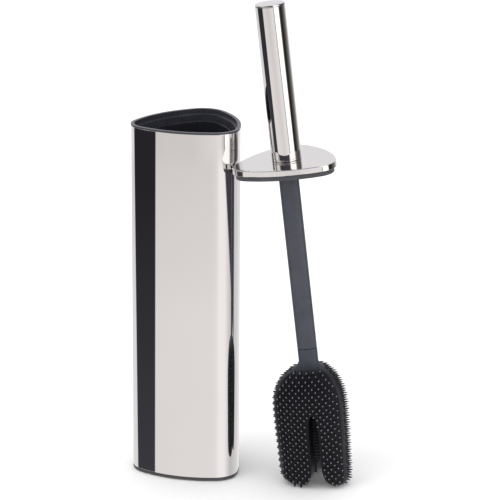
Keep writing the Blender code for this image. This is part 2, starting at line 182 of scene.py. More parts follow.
def mesh_object(name, bm):
    """A new object from a bmesh, which is used up."""
    mesh = bpy.data.meshes.new(name)
    bm.to_mesh(mesh)
    bm.free()
    return linked(name, mesh)


# ------------------------------------------------------------------ brush frame
def joint(name):
    joints = frame["record"]["behaviour"]["joints"]
    return next(j for j in joints if j["name"] == name)


def brush_frame():
    twist = joint("head_twist")
    axis = Vector(twist["axis"]).normalized()
    foot = Vector(twist["pos_m"]) - SHAFT_BOTTOM * axis
    lean = math.acos(axis.z)
    lean_axis = Vector((-axis.y, axis.x, 0.0)).normalized()
    return (Matrix.Translation(foot) @ Matrix.Rotation(lean, 4, lean_axis)
            @ Matrix.Rotation(BRUSH_SPIN, 4, "Z"))


BRUSH = brush_frame()
HOLDER = Matrix.Identity(4)
# direction in the brush's own plan that the lean lifts
UPHILL = math.atan2(BRUSH.row[2][1], BRUSH.row[2][0])


# ------------------------------------------------------------------ materials
class Tree:
    """A node tree with short calls to add and join nodes."""

    def __init__(self, tree):
        self.tree = tree

    def add(self, kind, inputs=None, **settings):
        node = self.tree.nodes.new(kind)
        for key, value in settings.items():
            setattr(node, key, value)
        for key, value in (inputs or {}).items():
            self.feed(node.inputs[key], value)
        return node

    def feed(self, socket, value):
        if isinstance(value, bpy.types.NodeSocket):
            self.tree.links.new(value, socket)
        elif socket.type == "RGBA" and len(value) == 3:
            socket.default_value = (*value, 1.0)
        else:
            socket.default_value = value

    def math(self, operation, a, b=0.0, clamp=False):
        return self.add("ShaderNodeMath", {0: a, 1: b}, operation=operation, use_clamp=clamp).outputs[0]

    def mix(self, factor, a, b, blend="MIX"):
        node = self.add("ShaderNodeMix", data_type="RGBA", blend_type=blend)
        for name, value in (("Factor_Float", factor), ("A_Color", a), ("B_Color", b)):
            self.feed(next(i for i in node.inputs if i.identifier == name), value)
        return next(o for o in node.outputs if o.identifier == "Result_Color")

    def ramp(self, factor, stops):
        node = self.add("ShaderNodeValToRGB", {"Fac": factor})
        ramp = node.color_ramp
        while len(ramp.elements) < len(stops):
            ramp.elements.new(0.5)
        for element, (position, colour) in zip(ramp.elements, stops):
            element.position = position
            element.color = (*colour, 1.0)
        return node.outputs["Color"]

    def span(self, factor, low, high):
        """Map a 0..1 value to low..high."""
        inputs = {"Value": factor, "To Min": low, "To Max": high}
        return self.add("ShaderNodeMapRange", inputs).outputs["Result"]


class Nodes(Tree):
    """A new material with one Principled shader."""

    def __init__(self, name):
        self.material = bpy.data.materials.new(name)
        self.material.use_nodes = True
        super().__init__(self.material.node_tree)
        self.shader = self.tree.nodes["Principled BSDF"]

    def noise(self, scale, detail=3.0):
        coords = self.add("ShaderNodeTexCoord").outputs["Object"]
        inputs = {"Vector": coords, "Scale": scale, "Detail": detail}
        return self.add("ShaderNodeTexNoise", inputs).outputs["Fac"]

    def bump(self, height, distance):
        inputs = {"Height": height, "Distance": distance, "Strength": 1.0}
        return self.add("ShaderNodeBump", inputs).outputs["Normal"]

    def set(self, **values):
        for key, value in values.items():
            self.feed(self.shader.inputs[key.replace("_", " ")], value)
        return self.material


def shade(colour, factor):
    return tuple(c * factor for c in colour)


def polished_steel(name, colour=(0.80, 0.785, 0.775)):
    """Mirror steel with faint wipe marks."""
    n = Nodes(name)
    cloud = n.noise(22.0, 4.0)
    colours = n.ramp(cloud, [(0.35, shade(colour, 0.985)), (0.65, colour)])
    return n.set(Base_Color=colours, Metallic=1.0, Roughness=n.span(n.noise(60.0), 0.012, 0.030))


def moulded_plastic(name, colour, roughness=0.42, grain=0.00004):
    """Satin plastic with a fine spark-eroded grain."""
    n = Nodes(name)
    colours = n.ramp(n.noise(90.0, 4.0), [(0.3, shade(colour, 0.88)), (0.7, shade(colour, 1.12))])
    surface = n.bump(n.noise(2600.0, 2.0), grain)
    finish = n.span(n.noise(300.0), roughness - 0.06, roughness + 0.08)
    return n.set(Base_Color=colours, Roughness=finish, Normal=surface, IOR=1.48)


def silicone(name, bed, plain, neck_painted_light, split):
    """Matt silicone with painted shade and light: a darker painted shade between the bristles, plain on
    the ridges, and a painted lighter neck.
    """
    n = Nodes(name)
    coords = n.add("ShaderNodeTexCoord").outputs["Object"]
    height = n.add("ShaderNodeSeparateXYZ", {"Vector": coords}).outputs["Z"]
    # painted light: the skin turns paler towards the neck over the 14 mm up to the split height
    inputs = {"Value": height, "From Min": split - 0.014, "From Max": split}
    neck_light_rise = n.add("ShaderNodeMapRange", inputs, interpolation_type="SMOOTHSTEP").outputs["Result"]
    # painted shade: this attribute marks where the skin is darkened between the bristles, and it also
    # lowers the specular level there
    share = n.add("ShaderNodeAttribute", attribute_name="bed").outputs["Fac"]
    base = n.mix(share, n.mix(neck_light_rise, plain, neck_painted_light), bed)
    mottle = n.ramp(n.noise(160.0, 4.0), [(0.3, (0.86, 0.86, 0.86)), (0.7, (1.0, 1.0, 1.0))])
    return n.set(Base_Color=n.mix(1.0, base, mottle, "MULTIPLY"), IOR=1.41,
                 Roughness=n.span(n.noise(400.0), 0.44, 0.60),
                 Specular_IOR_Level=n.span(share, 0.5, 0.25),
                 Normal=n.bump(n.noise(1800.0), 0.00003))


def bristle_silicone_painted_highlight(name, root, tip):
    """Silicone with a painted highlight: it grows paler along each bristle towards its tip, by each
    bristle's own attribute.
    """
    n = Nodes(name)
    along = n.add("ShaderNodeAttribute", attribute_name="tip").outputs["Fac"]
    # painted highlight: dark at the root, pale at the tip
    colours = n.ramp(along, [(0.0, root), (0.55, shade(root, 1.4)), (0.85, tip), (1.0, tip)])
    return n.set(Base_Color=colours, Roughness=n.span(n.noise(500.0), 0.34, 0.46), IOR=1.41)


def turned_metal(name, colour, roughness, scale):
    """Plain metal with a fine uneven finish, for fasteners and the ballast."""
    n = Nodes(name)
    cloud = n.noise(scale, 5.0)
    colours = n.ramp(cloud, [(0.25, shade(colour, 0.75)), (0.75, shade(colour, 1.1))])
    surface = n.bump(cloud, 0.00008)
    return n.set(Base_Color=colours, Metallic=1.0, Normal=surface,
                 Roughness=n.span(cloud, roughness - 0.08, roughness + 0.12))


def pad_rubber(name):
    n = Nodes(name)
    cloud = n.noise(350.0, 5.0)
    colours = n.ramp(cloud, [(0.2, (0.018, 0.018, 0.018)), (0.8, (0.045, 0.045, 0.045))])
    return n.set(Base_Color=colours, Roughness=n.span(cloud, 0.7, 0.92), Normal=n.bump(cloud, 0.0001))


# ------------------------------------------------------------------ pieces
def new_piece(name, bm, material, body, nodes=(), place=HOLDER, sharp=32.0):
    """Make one visible piece from a bmesh, attach it to its body, and hide the CAD nodes it stands for.
    """
    bmesh.ops.remove_doubles(bm, verts=bm.verts, dist=1e-7)
    bmesh.ops.recalc_face_normals(bm, faces=bm.faces)
    obj = mesh_object(name, bm)
    obj.data.materials.append(material)
    obj.data.shade_smooth()
    obj.data.set_sharp_from_angle(angle=math.radians(sharp))
    obj.matrix_world = place
    bpy.context.view_layer.update()
    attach(obj, body)
    if nodes:
        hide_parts(*nodes)


def keep_node(name, material):
    """Give a CAD node whose shape is right its finish."""
    slots = frame["nodes"][name].material_slots
    if not slots:
        frame["nodes"][name].data.materials.append(material)
    for slot in slots:
        slot.material = material


# ------------------------------------------------------------------ shape helpers
def side_centre_distance(core, corner_r, side_r):
    reach = side_r - corner_r
    return -core / 2 + math.sqrt(reach * reach - 0.75 * core * core)


def arc(centre, radius, start, end, steps):
    """Points from start towards end, leaving out the end."""
    return [
        (centre[0] + radius * math.cos(start + (end - start) * i / steps),
         centre[1] + radius * math.sin(start + (end - start) * i / steps))
        for i in range(steps)
    ]


def plan_outline(inset=0.0):
    corner_r, side_r = PLAN_CORNER_R - inset, PLAN_SIDE_R - inset
    back = side_centre_distance(PLAN_CORE, PLAN_CORNER_R, PLAN_SIDE_R)
    half_side = math.asin(0.5 * math.sqrt(3) * PLAN_CORE / (PLAN_SIDE_R - PLAN_CORNER_R))
    points = []
    for k in range(3):
        corner = math.radians(210 + 120 * k)
        centre = (PLAN_CORE * math.cos(corner), PLAN_CORE * math.sin(corner))
        turn = math.radians(60) - half_side
        points += arc(centre, corner_r, corner - turn, corner + turn, CORNER_STEPS)
        side = math.radians(270 + 120 * k)
        centre = (-back * math.cos(side), -back * math.sin(side))
        points += arc(centre, side_r, side - half_side, side + half_side, SIDE_STEPS)
    return points


def loft(rings, closed=False):
    """Skin a row of rings: joined end to end, or with both ends capped flat."""
    bm = bmesh.new()
    rows = [[bm.verts.new(point) for point in ring] for ring in rings]
    pairs = list(zip(rows, rows[1:]))
    if closed:
        pairs.append((rows[-1], rows[0]))
    for low, high in pairs:
        for i in range(len(low)):
            j = (i + 1) % len(low)
            bm.faces.new((low[i], low[j], high[j], high[i]))
    if not closed:
        bm.faces.new(rows[0])
        bm.faces.new(rows[-1])
    return bm


def plan_body(section, closed=False):
    return loft([[(x, y, z) for x, y in plan_outline(inset)] for inset, z in section], closed)


def turned_body(section, steps=TURN_STEPS, closed=False):
    turns = [2 * math.pi * i / steps for i in range(steps)]
    return loft([[(r * math.cos(t), r * math.sin(t), z) for t in turns] for r, z in section], closed)


def corner(centre, radius, start, turn, steps):
    """Section points from an angle through a turn, both in degrees, with both ends."""
    end = start + turn
    points = arc(centre, radius, math.radians(start), math.radians(end), steps)
    return points + arc(centre, radius, math.radians(end), math.radians(end), 1)


def rounded(section, radius=0.0004, steps=4):
    """Round every corner of a closed section by up to radius.

    A point just beyond each rounding keeps the shading of the long flats flat.
    """
    points = [Vector(p) for p in section]
    result = []
    for i, point in enumerate(points):
        before, after = points[i - 1] - point, points[(i + 1) % len(points)] - point
        cut = min(radius, 0.4 * before.length, 0.4 * after.length)
        start, end = point + cut * before.normalized(), point + cut * after.normalized()
        result.append(tuple(point + 1.2 * cut * before.normalized()))
        for s in range(steps + 1):
            t = s / steps
            result.append(tuple((1 - t) ** 2 * start + 2 * t * (1 - t) * point + t * t * end))
        result.append(tuple(point + 1.2 * cut * after.normalized()))
    return result


def smooth_curve(rows, height):
    """Value of each column of rows at a height, by a cubic without overshoot."""
    rows = sorted(rows)
    heights = [row[0] for row in rows]
    height = min(max(height, heights[0]), heights[-1])
    i = max(k for k in range(len(rows) - 1) if heights[k] <= height)
    step = heights[i + 1] - heights[i]
    t = (height - heights[i]) / step

    def slope(k, column):
        if k in (0, len(rows) - 1):
            return 0.0
        left = (rows[k][column] - rows[k - 1][column]) / (heights[k] - heights[k - 1])
        right = (rows[k + 1][column] - rows[k][column]) / (heights[k + 1] - heights[k])
        return 0.0 if left * right <= 0 else 2 * left * right / (left + right)

    values = []
    for column in range(1, len(rows[0])):
        a, b = rows[i][column], rows[i + 1][column]
        ma, mb = slope(i, column) * step, slope(i + 1, column) * step
        values.append((2 * t ** 3 - 3 * t * t + 1) * a + (t ** 3 - 2 * t * t + t) * ma
                      + (3 * t * t - 2 * t ** 3) * b + (t ** 3 - t * t) * mb)
    return values


# ------------------------------------------------------------------ holder
def outer_sleeve(steel):
    top = HOLDER_TOP - RIM_LIP
    section = [(0.0, SLEEVE_BOTTOM), (0.0, top), (SLEEVE_WALL, top),
               (SLEEVE_WALL, SLEEVE_BOTTOM)]
    body = plan_body(rounded(section, 0.0002, 2), closed=True)
    new_piece("steel_sleeve", body, steel, "holder", ["outer_sleeve"])


def rim_ring(plastic):
    lip, ledge = HOLDER_TOP - RIM_LIP, HOLDER_TOP - RECESS_DEPTH
    inside = SLEEVE_WALL + GAP
    section = [(-RIM_OVERHANG, lip), (-RIM_OVERHANG, HOLDER_TOP), (RECESS_INSET, HOLDER_TOP),
               (RECESS_INSET, ledge), (MOUTH_INSET, ledge), (MOUTH_INSET, RIM_BOTTOM),
               (inside, RIM_BOTTOM), (inside, lip)]
    body = plan_body(rounded(section, 0.0003), closed=True)
    new_piece("rim_moulding", body, plastic, "holder", ["rim_ring"])


def inner_bucket(plastic):
    outside, inside = BUCKET_INSET, BUCKET_INSET + BUCKET_WALL
    floor = BUCKET_BOTTOM + BUCKET_FLOOR
    chamfer, lip, fillet = 0.0015, 0.0005, 0.0020
    section = [(outside + FLAT_INSET, BUCKET_BOTTOM), (outside + chamfer, BUCKET_BOTTOM),
               (outside, BUCKET_BOTTOM + chamfer), (outside, BUCKET_TOP - lip),
               (outside + lip, BUCKET_TOP), (inside - lip, BUCKET_TOP),
               (inside, BUCKET_TOP - lip), (inside, floor + fillet),
               (inside + 0.3 * fillet, floor + 0.3 * fillet), (inside + fillet, floor),
               (inside + FLAT_INSET, floor)]
    new_piece("bucket_liner", plan_body(section), plastic, "bucket", ["inner_bucket"])


def base_tray(plastic):
    """Tray with a visible band below the sleeve and a recess for the pad."""
    band_top = SLEEVE_BOTTOM - GAP
    inside, recess = SLEEVE_WALL + GAP, PAD_INSET - GAP
    low, high = TRAY_FLOOR
    foot, edge, lead_in = 0.0006, 0.0003, 0.0010
    section = [(PAD_INSET + FLAT_INSET, low), (recess, low), (recess, TRAY_BOTTOM),
               (foot, TRAY_BOTTOM), (0.0, TRAY_BOTTOM + foot), (0.0, band_top - edge),
               (edge, band_top), (inside, band_top), (inside, TRAY_TOP - lead_in),
               (inside + lead_in, TRAY_TOP), (MOUTH_INSET, TRAY_TOP), (MOUTH_INSET, high),
               (MOUTH_INSET + FLAT_INSET, high)]
    new_piece("base_moulding", plan_body(section), plastic, "holder", ["base_tray"])


# ------------------------------------------------------------------ brush: lid and handle
def lid_plate(steel):
    """Pressed lid with a turned-down skirt and a top that falls away to its edge."""
    edge = LID_TOP - LID_FALL
    inner = LID_INSET + LID_SHEET
    bend, hem = 0.0004, 0.0002
    section = [(LID_INSET + LID_FLAT, LID_TOP - LID_SHEET), (inner + bend, edge - LID_SHEET),
               (inner, edge - LID_SHEET - bend), (inner, LID_BOTTOM),
               (LID_INSET + hem, LID_BOTTOM), (LID_INSET, LID_BOTTOM + hem),
               (LID_INSET, edge - 1.3 * LID_ROUND)]
    section += corner((LID_INSET + LID_ROUND, edge - LID_ROUND), LID_ROUND, 180, -90, 6)
    for i in range(1, 11):
        inset = LID_INSET + LID_ROUND + (LID_MARGIN - LID_ROUND) * i / 10
        section.append((inset, edge + LID_FALL * math.sin(math.radians(9 * i))))
    section.append((LID_INSET + LID_MARGIN + 0.0006, LID_TOP))
    new_piece("lid_shell", plan_body(section), steel, "brush", ["lid_plate"],
              BRUSH, sharp=40.0)


def lid_plug(plastic):
    """Plug below the lid, wider inside the skirt than below it."""
    upper = LID_INSET + LID_SHEET + GAP
    top = LID_TOP - LID_FALL - LID_SHEET - 2 * GAP
    step, edge = 0.0003, 0.0002
    section = [(PLUG_INSET + 3 * step, PLUG_BOTTOM), (PLUG_INSET + step, PLUG_BOTTOM + edge),
               (PLUG_INSET, PLUG_BOTTOM + 4 * edge), (PLUG_INSET, LID_BOTTOM - edge),
               (PLUG_INSET - step, LID_BOTTOM), (upper, LID_BOTTOM), (upper, top),
               (LID_INSET + LID_FLAT, LID_TOP - LID_SHEET - GAP)]
    new_piece("plug_moulding", plan_body(section), plastic, "brush", ["lid_plug"], BRUSH)


def handle_ring(steel):
    """Half-round collar between the handle and the lid."""
    low = LID_TOP + GAP / 6
    high = LID_TOP + RING_H + 11 * GAP / 6
    middle, half = (low + high) / 2, (high - low) / 2
    section = [(RING_BORE_R, high), (RING_BORE_R, low)]
    for degrees in range(-90, 91, 15):
        turn = math.radians(degrees)
        bulge = 0.6 * half * math.cos(turn) - GAP
        section.append((HANDLE_R + bulge, middle + half * math.sin(turn)))
    body = turned_body(section, closed=True)
    new_piece("handle_collar", body, steel, "brush", ["handle_ring"], BRUSH)


def handle_tube(steel):
    low = LID_TOP + RING_H + 2 * GAP
    high = HANDLE_TOP - CAP_H - GAP
    inner = HANDLE_R - HANDLE_WALL
    section = rounded([(inner, low), (HANDLE_R, low), (HANDLE_R, high), (inner, high)], 0.0002, 3)
    body = turned_body(section, closed=True)
    new_piece("handle_sleeve", body, steel, "brush", ["handle_tube"], BRUSH)


def handle_cap(steel):
    """Cap with a spigot that goes into the tube."""
    spigot = HANDLE_R - HANDLE_WALL - GAP
    seat = HANDLE_TOP - CAP_H
    chamfer, edge = 0.0006, 0.0001
    section = [(spigot - chamfer, seat - SPIGOT_H), (spigot, seat - SPIGOT_H + chamfer),
               (spigot, seat), (HANDLE_R - edge, seat), (HANDLE_R, seat + edge)]
    section += corner((HANDLE_R - CAP_ROUND, HANDLE_TOP - CAP_ROUND), CAP_ROUND, 0, 90, 8)
    new_piece("handle_end", turned_body(section), steel, "brush", ["handle_cap"], BRUSH)


# ------------------------------------------------------------------ brush: shaft
def oval_radius(angle):
    a, b = SHAFT_HALF
    n = OVAL_POWER
    return (abs(math.cos(angle) / a) ** n + abs(math.sin(angle) / b) ** n) ** (-1 / n)


def shaft(plastic):
    turns = [2 * math.pi * i / TURN_STEPS for i in range(TURN_STEPS)]
    low, high = SHAFT_BOTTOM, PLUG_BOTTOM - GAP
    edge, lengths = 0.0004, 12

    def ring(z, scale=1.0):
        return [(scale * oval_radius(t) * math.cos(t), scale * oval_radius(t) * math.sin(t), z)
                for t in turns]

    rings = [ring(low, 0.95), ring(low + edge / 4, 0.985)]
    rings += [ring(low + edge + (high - low - 2 * edge) * i / lengths) for i in range(lengths + 1)]
    rings += [ring(high, 0.97)]
    new_piece("shaft_bar", loft(rings), plastic, "brush", ["shaft"], BRUSH, sharp=50.0)


# ------------------------------------------------------------------ brush: head
def head_radius(angle):
    """Radius of the head's full plan, with a ridge along each of its three corners."""
    back = side_centre_distance(HEAD_CORE, HEAD_CORNER_R, HEAD_SIDE_R)
    sector = math.radians(120)
    off = (angle - math.radians(90) + sector / 2) % sector - sector / 2
    half_side = math.asin(0.5 * math.sqrt(3) * HEAD_CORE / (HEAD_SIDE_R - HEAD_CORNER_R))
    tangent = Vector((HEAD_SIDE_R * math.cos(half_side) - back, HEAD_SIDE_R * math.sin(half_side)))
    corner_reach = math.radians(60) - math.atan2(tangent.y, tangent.x)
    if abs(off) < corner_reach:
        across = HEAD_CORE * math.sin(off)
        radius = HEAD_CORE * math.cos(off) + math.sqrt(HEAD_CORNER_R ** 2 - across ** 2)
    else:
        turn = math.radians(60) - abs(off)
        radius = -back * math.cos(turn) + math.sqrt(HEAD_SIDE_R ** 2 - (back * math.sin(turn)) ** 2)
    ridge = RIDGE_H * math.exp(-(off * radius / RIDGE_HALF) ** 2)
    return radius + ridge


@functools.lru_cache(maxsize=None)
def head_shape_at(z):
    return smooth_curve(HEAD_SHAPE, z)


def outer_radius(angle, z):
    """Radius of the straight head, by its shape at the nearest tenth of a millimetre."""
    size, blend = head_shape_at(round(z, 4))
    return (1 - blend) * oval_radius(angle) + blend * size * head_radius(angle)


def straight_head():
    """The head before its slots are cut and before it bends."""
    heights = []
    rows = sorted(HEAD_SHAPE)
    for low, high in zip(rows, rows[1:]):
        count = max(1, math.ceil((high[0] - low[0]) / HEAD_ROW_H))
        heights += [low[0] + (high[0] - low[0]) * i / count for i in range(count)]
    heights.append(rows[-1][0])
    rings = []
    for z in heights:
        ring = []
        for i in range(HEAD_STEPS):
            angle = 2 * math.pi * i / HEAD_STEPS
            radius = outer_radius(angle, z)
            ring.append((radius * math.cos(angle), radius * math.sin(angle), z))
        rings.append(ring)
    return loft(rings)


def slot_tool(k):
    """Space between two lobes: an arch that runs in from face k."""
    outline = [(-w, z) for w, z in SLOT_SHAPE] + [(w, z) for w, z in reversed(SLOT_SHAPE)]
    mouth = Vector((SLOT_OFFSET, -head_radius(math.radians(-90)), 0.0))
    inwards = Vector((math.sin(SLOT_SLANT), math.cos(SLOT_SLANT), 0.0))
    across = Vector((inwards.y, -inwards.x, 0.0))
    turn = Matrix.Rotation(math.radians(120 * k), 3, "Z")

    def ring(depth):
        middle = mouth + depth * inwards
        return [turn @ (middle + w * across + Vector((0.0, 0.0, z))) for w, z in outline]

    return loft([ring(depth) for depth in SLOT_REACH])


def hollow_tool():
    """Space between the lobes, with moulded ribs running round its wall."""
    points_per_rib, end = 6, -0.0060
    section = []
    for degrees in range(8, 89, 16):
        turn = math.radians(degrees)
        section.append((HOLLOW_R * math.sin(turn), HOLLOW_TOP - 0.6 * HOLLOW_R * (1 - math.cos(turn))))
    z = section[-1][1] - 0.0006
    while z > end:
        rib = 0.5 + 0.5 * math.cos(2 * math.pi * z / RIB_PITCH)
        section.append((HOLLOW_R - RIB_H * rib, z))
        z -= RIB_PITCH / points_per_rib
    return turned_body(section, steps=72)


def work_object(name, bm):
    """A solid for the boolean cuts, removed again once they are made."""
    bmesh.ops.recalc_face_normals(bm, faces=bm.faces)
    return mesh_object(name, bm)


def carved_head():
    """Bmesh of the straight head with its hollow and slots, its edges softened."""
    skin = work_object("skin_work", straight_head())
    tools = [work_object("hollow_work", hollow_tool())]
    tools += [work_object(f"slot_work_{k}", slot_tool(k)) for k in range(3)]
    for tool in tools:
        cut = skin.modifiers.new("cut", "BOOLEAN")
        cut.operation = "DIFFERENCE"
        cut.solver = "EXACT"
        cut.object = tool
    remesh = skin.modifiers.new("remesh", "REMESH")
    remesh.mode = "VOXEL"
    remesh.voxel_size = SKIN_VOXEL
    soften = skin.modifiers.new("soften", "SMOOTH")
    soften.factor = 0.5
    soften.iterations = 2
    bpy.context.view_layer.update()
    evaluated = skin.evaluated_get(bpy.context.evaluated_depsgraph_get())
    bm = bmesh.new()
    bm.from_mesh(evaluated.to_mesh())
    evaluated.to_mesh_clear()
    for obj in [skin, *tools]:
        bpy.data.objects.remove(obj, do_unlink=True)
    return bm


def flexed(point):
    """Where a point of the straight head goes when the brush leans on it."""
    high, low = HEAD_SHOULDER
    t = clamp((high - point.z) / (high - low))
    shift = HEAD_SHIFT * t * t * (3 - 2 * t) + HEAD_SLOPE * max(0.0, low - point.z)
    reach = point.x * math.cos(UPHILL) + point.y * math.sin(UPHILL) + SETTLE_FROM
    bend = clamp(1 - point.z / low)
    return Vector((point.x - shift, point.y, point.z - HEAD_SETTLE * bend * reach))


def mark_painted_bed_shade(bm):
    """Mark where shade is painted on the skin: 1 between the bristles, 0.7 on the slot walls, 0 on the
    ridges and neck.
    """
    ridge_fade, slot_fade, neck_fade = 0.0010, 0.0008, 0.0040
    layer = bm.verts.layers.float.new("bed")
    for vert in bm.verts:
        x, y, z = vert.co
        spot, reach = math.atan2(y, x), math.hypot(x, y)
        off = (spot + math.radians(150)) % math.radians(120) - math.radians(60)
        margin = reach * math.sin(math.radians(60) - abs(off)) - 0.75 * RIDGE_CLEAR[off > 0]
        depth = outer_radius(spot, z) - reach
        bed = clamp(margin / ridge_fade) * clamp(1.6 - depth / slot_fade, low=0.7)
        # the painted shade fades out towards the neck
        vert[layer] = bed * clamp(0.5 + (BRISTLE_TOP - z) / neck_fade)


def bristle_roots(tree):
    """Root, direction and length of every bristle, shorter near one end of each face."""
    rows = int(BRISTLE_TOP / (BRISTLE_UP / 2)) + 1
    for face in range(3):
        facing = math.radians(-90 + 120 * face)
        normal = Vector((math.cos(facing), math.sin(facing), 0.0))
        across = Vector((-normal.y, normal.x, 0.0))
        for row in range(rows):
            z = BRISTLE_TOP - row * BRISTLE_UP / 2
            offset = 0.5 * (row % 2)
            for column in range(-6, 7):
                u = (column + offset) * BRISTLE_ACROSS
                length = BRISTLE_SHORT if row % 2 else BRISTLE_LONG
                root = root_on_face(tree, normal, across, u, z)
                if root is not None:
                    edge = outer_radius(facing + math.radians(60), z) * math.sin(math.radians(60))
                    inwards = clamp((edge - u - RIDGE_CLEAR[1]) / TAPER_WIDTH)
                    yield root, normal, length * (0.5 + 0.5 * inwards)


def root_on_face(tree, normal, across, u, z):
    """Where a bristle at (u, z) meets the face, or None on a ridge, slot or edge."""
    outside, least_facing, slot_step, slot_depth = 0.0600, 0.22, 0.0030, 0.0016

    def meet(du):
        start = across * (u + du) + normal * outside + Vector((0.0, 0.0, z))
        return tree.ray_cast(start, -normal)

    point, surface, _, _ = meet(0.0)
    if point is None or surface.dot(normal) < least_facing:
        return None
    spot = math.atan2(point.y, point.x)
    off = (spot - math.atan2(normal.y, normal.x) + math.pi) % (2 * math.pi) - math.pi
    reach = Vector((point.x, point.y)).length
    if reach * math.sin(math.radians(60) - abs(off)) < RIDGE_CLEAR[off > 0]:
        return None
    for du in (-BRISTLE_R, BRISTLE_R):
        side, _, _, _ = meet(du)
        if side is None or abs((side - point).dot(normal)) > slot_step:
            return None
    if reach < outer_radius(spot, z) - slot_depth:
        return None
    return point


def add_bristle(bm, tip_highlight_layer, root, direction, length):
    """One tapering bristle with a rounded end, sunk a little into the skin."""
    side = direction.orthogonal().normalized()
    up = direction.cross(side)
    rings = []
    for along, scale in BRISTLE_PROFILE:
        distance = along if along < 0 else along * length
        share = max(0.0, distance / length)
        ring = []
        for i in range(BRISTLE_SIDES):
            turn = 2 * math.pi * i / BRISTLE_SIDES
            offset = BRISTLE_R * scale * (math.cos(turn) * side + math.sin(turn) * up)
            vert = bm.verts.new(root + distance * direction + offset)
            # share along the bristle, which sets where the painted tip highlight falls
            vert[tip_highlight_layer] = share
            ring.append(vert)
        rings.append(ring)
    end = bm.verts.new(root + length * direction)
    end[tip_highlight_layer] = 1.0
    for low, high in zip(rings, rings[1:]):
        for i in range(BRISTLE_SIDES):
            j = (i + 1) % BRISTLE_SIDES
            bm.faces.new((low[i], low[j], high[j], high[i]))
    for i in range(BRISTLE_SIDES):
        bm.faces.new((rings[-1][i], rings[-1][(i + 1) % BRISTLE_SIDES], end))
    bm.faces.new(list(reversed(rings[0])))


def settle(bm):
    """Bend the head, and keep what would sink into the floor lying on it."""
    up = BRUSH.to_3x3().inverted() @ Vector((0.0, 0.0, 1.0))
    for vert in bm.verts:
        vert.co = flexed(vert.co)
        height = (BRUSH @ vert.co).z
        if height < FLOOR_CLEAR:
            vert.co += (FLOOR_CLEAR - height) * up


def silicone_head(skin_material, bristle_material):
    skin = carved_head()
    mark_painted_bed_shade(skin)
    tree = BVHTree.FromBMesh(skin)
    bristles = bmesh.new()
    tip_highlight_layer = bristles.verts.layers.float.new("tip")
    for root, normal, length in bristle_roots(tree):
        droop = max(0.0, 1 - root.z / DROOP_BELOW)
        direction = (normal + Vector((0.0, 0.0, -0.9 * droop - 0.06))).normalized()
        add_bristle(bristles, tip_highlight_layer, root, direction, length)
    settle(skin)
    settle(bristles)
    new_piece("head_lobes", skin, skin_material, "head", ["head_skin"],
              BRUSH, sharp=60.0)
    new_piece("head_bristles", bristles, bristle_material, "head", (),
              BRUSH, sharp=60.0)


# ------------------------------------------------------------------ studio
class Surroundings(Tree):
    """What the polished steel mirrors, laid out by compass direction and height in degrees.

    Directions run from 90 (behind the holder) through 180 (left) and 270 (front)
    and 360 (right) to 450; heights are above the horizon.
    """

    def __init__(self, world):
        super().__init__(world.node_tree)
        self.tree.nodes.clear()
        coords = self.add("ShaderNodeTexCoord")
        split = self.add("ShaderNodeSeparateXYZ", {"Vector": coords.outputs["Generated"]}).outputs
        turn = self.math("MULTIPLY", self.math("ARCTAN2", split["Y"], split["X"]), 0.5 / math.pi)
        self.share = self.math("FRACT", self.math("ADD", turn, 0.75))
        self.round = self.math("ADD", self.math("MULTIPLY", self.share, 360.0), 90.0)
        self.height = self.math("MULTIPLY", self.math("ARCSINE", split["Z"]), 180 / math.pi)

    def bands(self, stops):
        return self.ramp(self.share, [((at - 90) / 360, level) for at, level in stops])

    def beyond(self, value, at, soft):
        """0 before at, 1 beyond it, over a soft width."""
        return self.math("DIVIDE", self.math("SUBTRACT", value, at - soft / 2), soft, clamp=True)

    def past(self, at, lean=0.0, soft=1.0, level=-14.0):
        """1 beyond an edge that stands at a direction at a height, and leans from there."""
        moved = self.math("MULTIPLY", self.math("SUBTRACT", self.height, level), lean)
        return self.beyond(self.math("SUBTRACT", self.round, moved), at, soft)

    def above(self, at, slope, start, soft):
        """1 above an edge at a height at a direction, and sloping from there."""
        moved = self.math("MULTIPLY", self.math("SUBTRACT", self.round, start), slope)
        return self.beyond(self.math("SUBTRACT", self.height, moved), at, soft)

    def panel(self, back, front, left, right, *limits):
        """Put a panel between two edges, within any other limits, over the back."""
        mask = self.math("MULTIPLY", left, self.math("SUBTRACT", 1.0, right))
        for limit in limits:
            mask = self.math("MULTIPLY", mask, limit)
        return self.mix(mask, back, front)


WARM, GREY, COOL = (1.0, 0.965, 0.955), (1.0, 0.99, 1.0), (1.0, 0.985, 1.015)
PANEL, FLAG, DARK_ROOM = (1.5, 1.5, 1.48), (0.024, 0.022, 0.027), (0.055, 0.053, 0.065)


def white_table(s):
    """The table round the object, which ends on the right with the dark room beyond it."""
    table = s.bands([(90, shade(GREY, 0.86)), (165, shade(GREY, 0.86)), (228, shade(WARM, 0.885)),
                     (290, shade(WARM, 0.905)), (312, shade(WARM, 1.07)), (338, shade(WARM, 1.06)),
                     (372, shade(GREY, 0.60)), (400, shade(GREY, 0.72)), (450, shade(GREY, 0.86))])
    left = s.math("SUBTRACT", 1.0, s.past(300, soft=20.0))
    fall = s.math("MULTIPLY", s.beyond(s.height, -15.5, 5.0), left)
    table = s.mix(s.math("MULTIPLY", fall, 0.16), table, (0.0, 0.0, 0.0))
    room = s.above(-15.9, -0.0735, 356.0, 0.4)
    return s.panel(table, DARK_ROOM, s.past(336, soft=3.0), s.past(393, soft=3.0), room)


